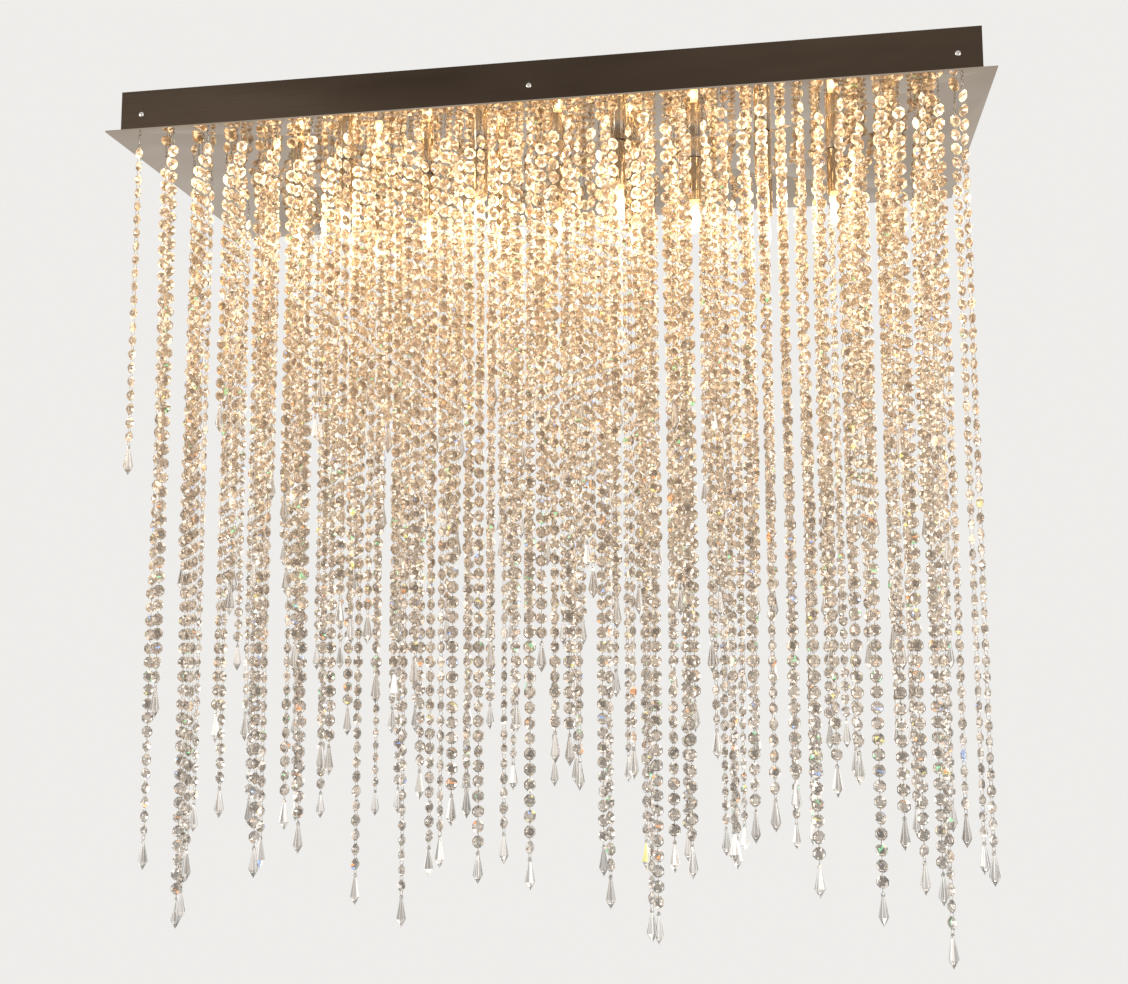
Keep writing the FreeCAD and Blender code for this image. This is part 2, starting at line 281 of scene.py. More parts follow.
def between(tree, source, low, high):
    """A value that follows the noise from low to high."""
    spread = tree.nodes.new("ShaderNodeMapRange")
    spread.inputs["From Min"].default_value = noise_low
    spread.inputs["From Max"].default_value = noise_high
    spread.inputs["To Min"].default_value = low
    spread.inputs["To Max"].default_value = high
    tree.links.new(source, spread.inputs["Value"])
    return spread.outputs["Result"]


def two_tone(tree, source, low, high):
    """A colour that follows the noise from one tone to the other."""
    ramp = tree.nodes.new("ShaderNodeValToRGB")
    ramp.color_ramp.elements[0].position = noise_low
    ramp.color_ramp.elements[0].color = (*low, 1)
    ramp.color_ramp.elements[1].position = noise_high
    ramp.color_ramp.elements[1].color = (*high, 1)
    tree.links.new(source, ramp.inputs["Fac"])
    return ramp.outputs["Color"]


def relief(tree, shader, source, depth, strength=0.5):
    """A fine surface that rises and falls with the noise."""
    bump = tree.nodes.new("ShaderNodeBump")
    bump.inputs["Distance"].default_value = depth
    bump.inputs["Strength"].default_value = strength
    tree.links.new(source, bump.inputs["Height"])
    tree.links.new(bump.outputs["Normal"], shader.inputs["Normal"])


def brushed_steel():
    """Steel brushed along the box's length, in the brown that it has in the photo."""
    finish, tree, shader = new_finish("brushed_steel", (0.075, 0.054, 0.039), metal=1.0)
    lines = grain(tree, 1.0, stretch=(6, 1400, 1400), detail=4)
    clouds = grain(tree, 3.0, stretch=(1, 4, 4))
    tree.links.new(between(tree, lines, 0.26, 0.44), shader.inputs["Roughness"])
    tree.links.new(two_tone(tree, clouds, (0.048, 0.033, 0.023), (0.082, 0.058, 0.041)),
                   shader.inputs["Base Color"])
    relief(tree, shader, lines, 0.00006, 0.35)
    shader.inputs["Anisotropic"].default_value = 0.5
    return finish


def mirror_steel():
    """Polished plate with slight waves and the streaks of its last wiping."""
    finish, tree, shader = new_finish("mirror_steel", (0.41, 0.34, 0.27), metal=1.0)
    waves = grain(tree, 9.0, detail=1)
    wiping = grain(tree, 1.0, stretch=(30, 160, 160))
    tree.links.new(between(tree, wiping, 0.02, 0.07), shader.inputs["Roughness"])
    tree.links.new(two_tone(tree, waves, (0.38, 0.31, 0.24), (0.44, 0.37, 0.30)),
                   shader.inputs["Base Color"])
    relief(tree, shader, waves, 0.0004, 0.2)
    return finish


def zinc_steel():
    """Zinc coating with its flakes."""
    finish, tree, shader = new_finish("zinc_steel", (0.62, 0.63, 0.64), metal=1.0)
    place = tree.nodes.new("ShaderNodeTexCoord")
    spangle = tree.nodes.new("ShaderNodeTexVoronoi")
    spangle.inputs["Scale"].default_value = 90.0
    tree.links.new(place.outputs["Object"], spangle.inputs["Vector"])
    flakes = tree.nodes.new("ShaderNodeSeparateColor")
    tree.links.new(spangle.outputs["Color"], flakes.inputs["Color"])
    tree.links.new(between(tree, flakes.outputs["Red"], 0.3, 0.5), shader.inputs["Roughness"])
    tree.links.new(two_tone(tree, flakes.outputs["Green"], (0.54, 0.56, 0.58), (0.68, 0.69, 0.70)),
                   shader.inputs["Base Color"])
    return finish


def dimmed(colour, share):
    return tuple(share * part for part in colour)


def plated(name, colour, roughness=0.16):
    """Plated or turned bright metal with fine handling marks."""
    finish, tree, shader = new_finish(name, colour, metal=1.0, roughness=roughness)
    marks = grain(tree, 600.0, detail=4)
    dull = dimmed(colour, 0.82)
    tree.links.new(between(tree, marks, roughness * 0.6, roughness * 1.5),
                   shader.inputs["Roughness"])
    tree.links.new(two_tone(tree, marks, dull, colour), shader.inputs["Base Color"])
    return finish


def height_band(tree, low, high):
    """Runs from 0 at the lower height to 1 at the upper one."""
    place = tree.nodes.new("ShaderNodeTexCoord")
    parts = tree.nodes.new("ShaderNodeSeparateXYZ")
    band = tree.nodes.new("ShaderNodeMapRange")
    band.inputs["From Min"].default_value = low
    band.inputs["From Max"].default_value = high
    tree.links.new(place.outputs["Object"], parts.inputs["Vector"])
    tree.links.new(parts.outputs["Z"], band.inputs["Value"])
    return band.outputs["Result"]


def holder_steel():
    """Polished tube, in a straw colour towards its rim, which is nearest the lamp."""
    finish, tree, shader = new_finish("polished_holder", (0.74, 0.68, 0.60), metal=1.0)
    band = height_band(tree, holder_rim, plate_under)
    ramp = tree.nodes.new("ShaderNodeValToRGB")
    ramp.color_ramp.elements[0].color = (0.82, 0.64, 0.42, 1)
    ramp.color_ramp.elements[1].color = (0.74, 0.70, 0.65, 1)
    ramp.color_ramp.elements.new(0.45).color = (0.76, 0.66, 0.52, 1)
    tree.links.new(band, ramp.inputs["Fac"])
    tree.links.new(ramp.outputs["Color"], shader.inputs["Base Color"])
    polish = grain(tree, 1.0, stretch=(300, 300, 1500))
    tree.links.new(between(tree, polish, 0.06, 0.16), shader.inputs["Roughness"])
    return finish


def matt(name, low, high, scale, roughness, depth):
    """Moulded or fired material with a fine surface."""
    finish, tree, shader = new_finish(name, high, roughness=roughness)
    specks = grain(tree, scale, detail=5)
    tree.links.new(two_tone(tree, specks, low, high), shader.inputs["Base Color"])
    tree.links.new(between(tree, specks, roughness * 0.85, min(1.0, roughness * 1.1)),
                   shader.inputs["Roughness"])
    relief(tree, shader, specks, depth)
    return finish


def woven_sleeve():
    """Woven heat-proof sleeve of the lamp wiring."""
    finish, tree, shader = new_finish("wire_sleeve", (0.80, 0.77, 0.70), roughness=0.75)
    place = tree.nodes.new("ShaderNodeTexCoord")
    weave = tree.nodes.new("ShaderNodeTexChecker")
    weave.inputs["Scale"].default_value = 2200.0
    weave.inputs["Color1"].default_value = (0.84, 0.81, 0.74, 1)
    weave.inputs["Color2"].default_value = (0.66, 0.63, 0.57, 1)
    tree.links.new(place.outputs["Object"], weave.inputs["Vector"])
    tree.links.new(weave.outputs["Color"], shader.inputs["Base Color"])
    relief(tree, shader, weave.outputs["Fac"], 0.0002)
    return finish


def cut_crystal():
    """Clear cut glass. Each facet carries its own faint tint with painted shade, and painted
    lamplight: glow, highlights and glints set as emission, not cast by the lamps.
    """
    finish, tree, shader = new_finish("crystal", (0.9, 0.9, 0.88), roughness=0.01)
    tint_with_painted_light = tree.nodes.new("ShaderNodeVertexColor")
    tint_with_painted_light.layer_name = "facet_tint_painted_shade_and_glow"
    light = tree.nodes.new("ShaderNodeVertexColor")
    light.layer_name = "painted_lamp_light"
    tree.links.new(tint_with_painted_light.outputs["Color"], shader.inputs["Base Color"])
    tree.links.new(light.outputs["Color"], shader.inputs["Emission Color"])
    polish = grain(tree, 500.0, detail=2)
    tree.links.new(between(tree, polish, 0.0, 0.03), shader.inputs["Roughness"])
    shader.inputs["Emission Strength"].default_value = 1.0
    shader.inputs["Transmission Weight"].default_value = 1.0
    shader.inputs["IOR"].default_value = 1.54
    shader.inputs["Coat Weight"].default_value = 0.3
    shader.inputs["Coat Roughness"].default_value = 0.02
    return finish


def lamp_glass():
    """Clear capsule that carries the light of its filament, brightest at the coil."""
    finish, tree, shader = new_finish("lamp_glass", (1.0, 0.93, 0.80), roughness=0.05)
    band = height_band(tree, lamp_tip, lamp_top)
    ramp = tree.nodes.new("ShaderNodeValToRGB")
    ramp.color_ramp.elements[0].color = (0.55, 0.26, 0.08, 1)
    ramp.color_ramp.elements[1].color = (0.20, 0.08, 0.02, 1)
    ramp.color_ramp.elements.new(0.22).color = (1.0, 0.74, 0.40, 1)
    ramp.color_ramp.elements.new(0.45).color = (1.0, 0.90, 0.66, 1)
    ramp.color_ramp.elements.new(0.68).color = (0.90, 0.56, 0.26, 1)
    tree.links.new(band, ramp.inputs["Fac"])
    tree.links.new(ramp.outputs["Color"], shader.inputs["Emission Color"])
    frosting = grain(tree, 200.0)
    tree.links.new(between(tree, frosting, 0.03, 0.12), shader.inputs["Roughness"])
    shader.inputs["Emission Strength"].default_value = 1.6
    shader.inputs["Transmission Weight"].default_value = 0.8
    shader.inputs["IOR"].default_value = 1.47
    return finish


def glowing_filament():
    """Coil at white heat, a little cooler between its turns."""
    finish, tree, shader = new_finish("filament", (1.0, 0.85, 0.6), roughness=0.5)
    coil = grain(tree, 900.0)
    tree.links.new(two_tone(tree, coil, (1.0, 0.74, 0.42), (1.0, 0.90, 0.70)),
                   shader.inputs["Emission Color"])
    shader.inputs["Emission Strength"].default_value = 25.0
    return finish


# finishes by CAD slot
finishes = {
    "brushed_steel": brushed_steel(),
    "mirror_steel": mirror_steel(),
    "zinc_steel": zinc_steel(),
    "bright_screws": plated("bright_screws", (0.74, 0.71, 0.67)),
    "brass_nuts": plated("brass_nuts", (0.78, 0.58, 0.28), 0.24),
    "polished_holder": holder_steel(),
    "socket_ceramic": matt("socket_ceramic", (0.80, 0.77, 0.71), (0.88, 0.86, 0.81),
                           700.0, 0.65, 0.00004),
    "lamp_glass": lamp_glass(),
    "wire_sleeve": woven_sleeve(),
    "terminal_plastic": matt("terminal_plastic", (0.74, 0.74, 0.70), (0.82, 0.82, 0.78),
                             900.0, 0.5, 0.00003),
    "grommet_rubber": matt("grommet_rubber", (0.025, 0.025, 0.026), (0.06, 0.06, 0.06),
                           500.0, 0.8, 0.00006),
    "crystal": cut_crystal(),
    "wire_chrome": plated("wire_chrome", (0.60, 0.55, 0.48), 0.12),
}
filament_finish = glowing_filament()  # the coils alone, inside the slot of the lamp's glass


def dress(piece, slot, body, *nodes):
    """Gives a new piece its finish, its body and the CAD nodes that it stands for."""
    piece.data.materials.clear()
    piece.data.materials.append(finishes[slot])
    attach(piece, body)
    if nodes:
        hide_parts(*nodes)


# ---- canopy box and mirror plate, with their bent and rubbed edges ----
def softened(node, name, slot, width):
    """A CAD solid with its sharp edges rounded by a width."""
    piece = own_copy(node, name)
    edge = piece.modifiers.new("edge", "BEVEL")
    edge.width = width
    edge.segments = 2
    edge.limit_method = "ANGLE"
    edge.angle_limit = math.radians(40)
    select_only(piece)
    bpy.ops.object.modifier_apply(modifier="edge")
    smooth_over(piece, 20)
    dress(piece, slot, "canopy", node)


softened("canopy_box", "brushed_box", "brushed_steel", 0.0005)
softened("mirror_plate", "polished_plate", "mirror_steel", 0.0003)
for bar in ("frame_rail_front", "frame_rail_back", "cross_bar_left", "cross_bar_right",
            "cross_bar_middle"):
    softened(bar, bar + "_folded", "zinc_steel", 0.0004)


# ---- screws ----
def cross_slot(width, arm, depth):
    """A plus-shaped cutter for a screw head."""
    deselect_all()
    bpy.ops.mesh.primitive_cube_add(size=width)
    cutter = bpy.context.active_object
    bpy.ops.object.transform_apply()
    start_edit(cutter)
    for direction in ((1, 0), (-1, 0), (0, 1), (0, -1)):
        side = Vector((*direction, 0))
        pick_points(cutter, lambda place: place.dot(side) > width * 0.4
                    and abs(place.cross(side).z) < width * 0.6)
        bpy.ops.mesh.extrude_region_move(TRANSFORM_OT_translate={"value": side * arm})
    bpy.ops.mesh.select_all(action="SELECT")
    bpy.ops.transform.resize(value=(1, 1, depth / width))
    end_edit()
    return cutter


def cut_from(piece, cutter):
    """Takes the cutter's shape out of the piece, and the cutter away."""
    cut = piece.modifiers.new("cut", "BOOLEAN")
    cut.operation = "DIFFERENCE"
    cut.solver = "EXACT"
    cut.object = cutter
    select_only(piece)
    bpy.ops.object.modifier_apply(modifier="cut")
    put_away(cutter)


def side_screws():
    """Low dome heads with a cross slot; the shank is hidden in the wall and the rail."""
    boxes = solid_boxes("side_screws")
    radius = (boxes[0][1][0] - boxes[0][0][0]) / 2 * 0.96
    dome = [(radius * 0.35, 0.0021), (radius * 0.68, 0.0018), (radius * 0.90, 0.0011),
            (radius, 0.0003), (radius, 0.0), (radius * 0.38, 0.0), (radius * 0.38, -0.0045)]
    head = turned("screw_head", dome, 20)
    cutter = cross_slot(0.0008, 0.0011, 0.0030)
    for point in cutter.data.vertices:
        point.co.z += screw_rise
    cut_from(head, cutter)
    turns, places = [], []
    for low, high in boxes:
        side = 1 if low[1] > 0 else -1
        face = (high[1] if side > 0 else low[1]) - side * screw_rise
        turns.append(np.array(Matrix.Rotation(-side * math.pi / 2, 3, "X")))
        places.append(((low[0] + high[0]) / 2, face, (low[2] + high[2]) / 2))
    piece = copy_to(head, "dome_screws", turns, places)
    put_away(head)
    smooth_over(piece, 30)
    dress(piece, "bright_screws", "canopy", "side_screws")


side_screws()


# ---- lamps: cups on threaded stems, ceramic sockets, capsules with their filaments ----
def stem_profile():
    """A thread as a row of ridges, up from the plate."""
    pitch = stem_height / stem_threads
    ridges = [(stem_radius, plate_under)]
    for turn in range(stem_threads):
        top = plate_under + (turn + 1) * pitch
        ridges += [(stem_root, top - pitch / 2), (stem_radius, top)]
    return ridges + [(0.0030, plate_under + stem_height)]


def cup_profile():
    """A tube with a rounded top, a groove near its rim, and a bore up to its floor."""
    return [(0.0092, holder_top), (0.0103, holder_top - 0.0002),
            (holder_radius, holder_top - 0.0007), (holder_radius, holder_rim + 0.0030),
            (holder_groove, holder_rim + 0.0026), (holder_groove, holder_rim + 0.0020),
            (holder_radius, holder_rim + 0.0016), (holder_radius, holder_rim + 0.0004),
            (holder_groove, holder_rim), (0.0095, holder_rim),
            (holder_bore, holder_rim + 0.0004), (holder_bore, holder_floor),
            (core_radius, holder_floor)]


def socket_profile():
    """A ceramic plug with a shallow recess for the lamp."""
    return [(core_radius, socket_top), (socket_radius, socket_top),
            (socket_radius, socket_face + 0.0004), (0.0085, socket_face), (0.0062, socket_face),
            (0.0058, socket_face + 0.0012), (0.0010, socket_face + 0.0012)]


def capsule_profile():
    """The pinch, the waist, the round bulb and its sealed tip."""
    return [(0.0050, lamp_top), (0.0062, lamp_top - 0.0004), (0.0062, lamp_top - 0.0100),
            (0.0050, lamp_top - 0.0118), (0.0061, lamp_top - 0.0140), (0.0069, lamp_top - 0.0165),
            (0.0069, lamp_tip + 0.0100), (0.0066, lamp_tip + 0.0065), (0.0056, lamp_tip + 0.0038),
            (0.0038, lamp_tip + 0.0020), (0.0017, lamp_tip + 0.0012), (0.0010, lamp_tip + 0.0006),
            (0.0004, lamp_tip)]


def filament_profile():
    """A close coil, as a row of ridges."""
    ridges = [(0.0005, coil_top)]
    for turn in range(coil_turns):
        top = coil_top - turn * coil_pitch
        ridges += [(0.0016, top - 0.0003), (0.0009, top - 0.0009)]
    return ridges + [(0.0005, coil_top - coil_turns * coil_pitch)]


def flatten_pinch(capsule):
    """The glass is pressed flat where its pins come in."""
    start_edit(capsule)
    pick_points(capsule, lambda place: place.z > lamp_top - pinch_length)
    bpy.ops.transform.resize(value=(1.0, 0.45, 1.0))
    end_edit()


def lead_wires():
    """The two straight wires that carry the filament."""
    wire = turned("lamp_lead", [(0.0003, lead_top), (lead_wire, lead_top - 0.0002),
                                (lead_wire, lead_end + 0.0002), (0.0003, lead_end)], 6)
    pair = copy_to(wire, "lead_pair", upright(2), [(-lead_spread, 0, 0), (lead_spread, 0, 0)])
    put_away(wire)
    return pair


def lamp_places():
    """The centre of each lamp, row by row, from the CAD capsules."""
    return {row: [((low[0] + high[0]) / 2, (low[1] + high[1]) / 2, 0.0)
                  for low, high in solid_boxes("lamp_capsules_" + row)] for row in lamp_rows}


lamps = lamp_places()


def build_lamps():
    """Each lamp part as one piece for each row of lamps."""
    capsule = turned("capsule", capsule_profile(), 20)
    flatten_pinch(capsule)
    patterns = (
        (turned("cup", cup_profile(), 28), "lamp_cups_", "polished_holder", "lamp_holders_"),
        (turned("stem", stem_profile(), 14), "lamp_stems_", "zinc_steel", "lamp_holders_"),
        (turned("socket", socket_profile(), 24), "lamp_sockets_round_", "socket_ceramic",
         "lamp_sockets_"),
        (capsule, "lamp_glass_", "lamp_glass", "lamp_capsules_"),
        (turned("coil", filament_profile(), 10), "lamp_filaments_", "lamp_glass",
         "lamp_capsules_"),
        (lead_wires(), "lamp_leads_", "wire_chrome", "lamp_capsules_"),
    )
    for pattern, name, slot, node in patterns:
        for row in lamp_rows:
            piece = copy_to(pattern, name + row, upright(len(lamps[row])), lamps[row])
            smooth_over(piece, 35)
            dress(piece, slot, "canopy", node + row)
            if name == "lamp_filaments_":
                piece.data.materials[0] = filament_finish
        put_away(pattern)


build_lamps()


# ---- supply parts inside the box ----
def tube_through(name, low, high, sides):
    """A round sleeve along the longest side of a box, with its end edges drawn in."""
    size = high - low
    along = int(np.argmax(size))
    radius = float(min(size)) / 2
    length = float(size[along])
    sleeve = turned(name, [(radius * 0.6, 0), (radius, 0.0004), (radius, length - 0.0004),
                           (radius * 0.6, length)], sides)
    turn = {0: Matrix.Rotation(math.pi / 2, 3, "Y"), 1: Matrix.Rotation(-math.pi / 2, 3, "X"),
            2: Matrix.Identity(3)}[along]
    start = (low + high) / 2
    start[along] = low[along]
    piece = copy_to(sleeve, name, [np.array(turn)], [start])
    put_away(sleeve)
    return piece


def join_pieces(name, pieces):
    """One piece from several."""
    deselect_all()
    for piece in pieces:
        piece.select_set(True)
    bpy.context.view_layer.objects.active = pieces[0]
    bpy.ops.object.join()
    pieces[0].name = name
    return pieces[0]


def wiring():
    """Round sleeves in place of the CAD's six-sided runs."""
    sleeves = [tube_through("sleeve", low, high, 12) for low, high in solid_boxes("lamp_wiring")]
    piece = join_pieces("wire_sleeves", sleeves)
    smooth_over(piece, 35)
    dress(piece, "wire_sleeve", "canopy", "lamp_wiring")


def grommet():
    """A rubber sleeve with a flange below the bar that it sits in. Its open middle has no lids."""
    low, high = solid_boxes("cord_grommet")[0]
    flange = float(high[0] - low[0]) / 2
    sleeve = flange - 0.0020
    bore = sleeve - 0.0020
    top, bottom = float(high[2]), float(low[2])
    lip = bottom + 0.0020
    profile = [(bore + 0.0003, top), (sleeve - 0.0003, top), (sleeve, top - 0.0003), (sleeve, lip),
               (flange - 0.0005, lip), (flange, lip - 0.0005), (flange, bottom + 0.0005),
               (flange - 0.0005, bottom), (bore + 0.0005, bottom), (bore, bottom + 0.0005),
               (bore, top - 0.0003), (bore + 0.0003, top)]
    ring = turned("grommet_ring", profile, 32)
    start_edit(ring)
    bpy.ops.mesh.select_all(action="DESELECT")
    cage = bmesh.from_edit_mesh(ring.data)
    lids = [face for face in cage.faces if len(face.verts) == 32]
    bmesh.ops.delete(cage, geom=lids, context="FACES_ONLY")
    bmesh.update_edit_mesh(ring.data)
    bpy.ops.mesh.select_all(action="SELECT")
    bpy.ops.mesh.remove_doubles(threshold=0.000001)
    end_edit()
    centre = ((low[0] + high[0]) / 2, (low[1] + high[1]) / 2, 0.0)
    piece = copy_to(ring, "cord_grommet_ring", upright(1), [centre])
    put_away(ring)
    smooth_over(piece, 30)
    dress(piece, "grommet_rubber", "canopy", "cord_grommet")


def terminal_screws():
    """Short brass screws with a cross slot, one in each well of the terminal block."""
    boxes = solid_boxes("terminal_screws")
    radius = float(boxes[0][1][0] - boxes[0][0][0]) / 2
    height = float(boxes[0][1][2] - boxes[0][0][2])
    screw = turned("terminal_screw", [(radius * 0.8, height), (radius, height * 0.9),
                                      (radius, height * 0.1), (radius * 0.9, 0.0)], 18)
    cut_from(screw, cross_slot(0.0006, 0.0009, 0.0016))
    places = [((low[0] + high[0]) / 2, (low[1] + high[1]) / 2, low[2]) for low, high in boxes]
    piece = copy_to(screw, "terminal_screws_cut", upright(len(places)), places)
    put_away(screw)
    smooth_over(piece, 35)
    dress(piece, "brass_nuts", "canopy", "terminal_screws")


wiring()
grommet()
terminal_screws()
softened("terminal_block", "terminal_body", "terminal_plastic", 0.0008)
for nuts, slot in (("stem_nuts_front", "brass_nuts"), ("stem_nuts_middle", "brass_nuts"),
                   ("stem_nuts_back", "brass_nuts"), ("earth_nut", "brass_nuts"),
                   ("earth_stud", "bright_screws"), ("flange_screws", "bright_screws")):
    softened(nuts, nuts + "_turned", slot, 0.0004)


# ---- strands: patterns ----
def strand_places(node):
    """The middle and the lower end of each strand of a row, from left to right."""
    points = np.array([point.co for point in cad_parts[node].data.vertices])
    points = points[np.argsort(points[:, 0])]
    breaks = np.where(np.diff(points[:, 0]) > strand_gap)[0] + 1
    return [((part[:, 0].min() + part[:, 0].max()) / 2,
             (part[:, 1].min() + part[:, 1].max()) / 2, part[:, 2].min())
            for part in np.split(points, breaks)]


def bead_pattern():
    """An octagonal lens: a table on each face, and a belt of triangles out to a sharp girdle."""
    half_side = math.pi / 8
    deselect_all()
    bpy.ops.mesh.primitive_cylinder_add(vertices=8, radius=bead_width / 2 / math.cos(half_side),
                                        depth=bead_thickness, end_fill_type="NGON",
                                        rotation=(math.pi / 2, 0, 0))
    bead = bpy.context.active_object
    bead.name = "bead"
    bpy.ops.object.transform_apply()
    start_edit(bead)
    bpy.ops.mesh.select_all(action="SELECT")
    bpy.ops.transform.rotate(value=half_side, orient_axis="Y", center_override=(0, 0, 0))
    cut_across((0, 0, 0), (0, 1, 0))
    share = bead_table / bead_width
    for side in (-1, 1):
        pick_points(bead, lambda place: place.y * side > bead_thickness * 0.3)
        bpy.ops.transform.resize(value=(share, 1, share))
        bpy.ops.transform.rotate(value=half_side, orient_axis="Y", center_override=(0, 0, 0))
    bpy.ops.mesh.select_all(action="SELECT")
    bpy.ops.mesh.quads_convert_to_tris()
    end_edit()
    return bead


def polish_edges(drop):
    """Takes the long edges of the drop that's being edited off in narrow strips."""
    bpy.ops.mesh.select_mode(type="EDGE")
    bpy.ops.mesh.select_all(action="DESELECT")
    cage = bmesh.from_edit_mesh(drop.data)
    for edge in cage.edges:
        edge.select = abs(edge.verts[0].co.z - edge.verts[1].co.z) > drop_length * 0.2
    bmesh.update_edit_mesh(drop.data)
    bpy.ops.mesh.bevel(offset=drop_edge, segments=1, affect="EDGES")


def sharpen_tip(drop):
    """Draws the blunt lower end that the strips leave to a point at the drop's full length."""
    bpy.ops.mesh.select_mode(type="VERT")
    blunt = min(point.co.z for point in bmesh.from_edit_mesh(drop.data).verts)
    pick_points(drop, lambda place: place.z < blunt * 0.97)
    bpy.ops.mesh.merge(type="CENTER")
    bpy.ops.transform.translate(value=(0, 0, -drop_length - blunt))


def drop_pattern():
    """An eight-sided icicle that hangs from the origin: cap, neck, shoulder and point."""
    deselect_all()
    bpy.ops.mesh.primitive_cylinder_add(vertices=8, radius=drop_width / 2, depth=drop_length,
                                        end_fill_type="NGON", location=(0, 0, -drop_length / 2))
    drop = bpy.context.active_object
    drop.name = "drop"
    bpy.ops.object.transform_apply()
    start_edit(drop)
    for depth in (drop_cap, drop_neck, drop_shoulder * drop_length):
        cut_across((0, 0, -depth), (0, 0, 1))
    for depth, share in ((0.0, 0.20), (drop_cap, 0.40), (drop_neck, 0.34)):
        pick_points(drop, lambda place: abs(place.z + depth) < 0.0004)
        bpy.ops.transform.resize(value=(share, share, 1))
    pick_points(drop, lambda place: place.z < -drop_length * 0.98)
    bpy.ops.mesh.merge(type="CENTER")
    polish_edges(drop)
    sharpen_tip(drop)
    end_edit()
    return drop


def wire_ring(name, width, height, wire):
    """An oblong wire ring in the plane of the Y and Z axes."""
    deselect_all()
    bpy.ops.mesh.primitive_torus_add(major_segments=8, minor_segments=3,
                                     major_radius=width / 2 - wire, minor_radius=wire,
                                     rotation=(0, math.pi / 2, 0))
    ring = bpy.context.active_object
    ring.name = name
    bpy.ops.object.transform_apply()
    stretch = (height - width) / 2
    start_edit(ring)
    pick_points(ring, lambda place: place.z > 0.0001)
    bpy.ops.transform.translate(value=(0, 0, stretch))
    pick_points(ring, lambda place: place.z < -0.0001)
    bpy.ops.transform.translate(value=(0, 0, -stretch))
    end_edit()
    return ring


def no_faces(pattern):
    return np.zeros(len(pattern.data.polygons), dtype=bool)


def flat_faces(pattern):
    """Which facets are the flat tables in the middle of a bead's front and back."""
    return np.array([abs(face.normal.y) > 0.99 for face in pattern.data.polygons])


def polished_edges(pattern):
    """Which facets are the narrow strips along a drop's edges."""
    shape = bmesh.new()
    shape.from_mesh(pattern.data)
    narrow = [face.calc_perimeter() ** 2 / face.calc_area() > 60 for face in shape.faces]
    shape.free()
    return np.array(narrow)


# ---- strands: tint, painted shade and painted lamplight of each facet ----
# the glass's faint tint, and the colours of painted light and shade: warm lamplight in the glass,
# dark facets as painted shade, glow, glints and coloured fire
clear_glass = np.array((0.89, 0.88, 0.86))
painted_lamplit_glass = np.array((0.90, 0.66, 0.42))
painted_shade_cool = np.array((0.07, 0.068, 0.066))
painted_shade_lamplit = np.array((0.10, 0.055, 0.03))
amber_light = np.array((1.0, 0.56, 0.24))
pale_light = np.array((1.0, 0.86, 0.60))
peach_light = np.array((1.0, 0.66, 0.42))
white_light = np.array((1.0, 0.96, 0.90))
painted_fire_colours = np.array(((0.20, 0.75, 0.35), (0.25, 0.45, 1.0), (1.0, 0.35, 0.10),
                         (0.85, 0.80, 0.20)))

# the broad zone of painted lamplight: its strength, how far down it fades, how it grows to the
# plate
zone_glow, zone_fade, zone_rise = 0.57, 0.55, 20.0
# the spot of painted lamplight round each lamp, and the most that any facet gets
spot_glow, spot_reach, most_glow = 1.5, 0.055, 1.9

# ranges that the random painted shades and lights are drawn from
table_shades = (0.10, 0.70)
amber_range = (0.0, 0.17)
pale_range = (0.0, 0.20)
bright_range = (0.3, 2.0)
peach_range = (0.1, 0.5)
sparkle_range = (0.2, 0.9)
edge_range = (0.0, 0.22)
# shares of the facets that get a painted light of their own
bright_share, bright_share_lit = 0.03, 0.20
sparkle_share = 0.08
bead_fire, drop_fire = 0.009, 0.001
# the darkest painted shade of a bead's and a drop's facets, and how much less painted lamplight a
# drop gets
bead_darkest, drop_darkest, drop_dimming = 0.08, 0.30, 0.4

all_lamps = np.array([(x, y, lamp_middle) for row in lamp_rows for x, y, _ in lamps[row]])


def glow_at(places):
    """How much painted lamplight each place gets: a broad warm zone and a bright spot by each
    lamp.
    """
    places = np.array(places)
    below = np.clip(lamp_middle - places[:, 2], 0, None)
    above = np.clip(places[:, 2] - lamp_middle, 0, None)
    zone = zone_glow * np.exp(-(below / zone_fade) ** 1.5) * (1 + zone_rise * above)
    reach = np.linalg.norm(places[:, None, :] - all_lamps[None], axis=2).min(axis=1)
    return np.clip(zone + spot_glow * np.exp(-(reach / spot_reach) ** 2), 0, most_glow)


def paint_facets(mesh, name, colours):
    """Stores one colour for each facet, at all of its corners."""
    sides = np.empty(len(mesh.polygons), dtype=int)
    mesh.polygons.foreach_get("loop_total", sides)
    painted = np.ones((len(mesh.polygons), 4))
    painted[:, :3] = colours
    layer = mesh.color_attributes.new(name, "FLOAT_COLOR", "CORNER")
    layer.data.foreach_set("color", np.repeat(painted, sides, axis=0).ravel())


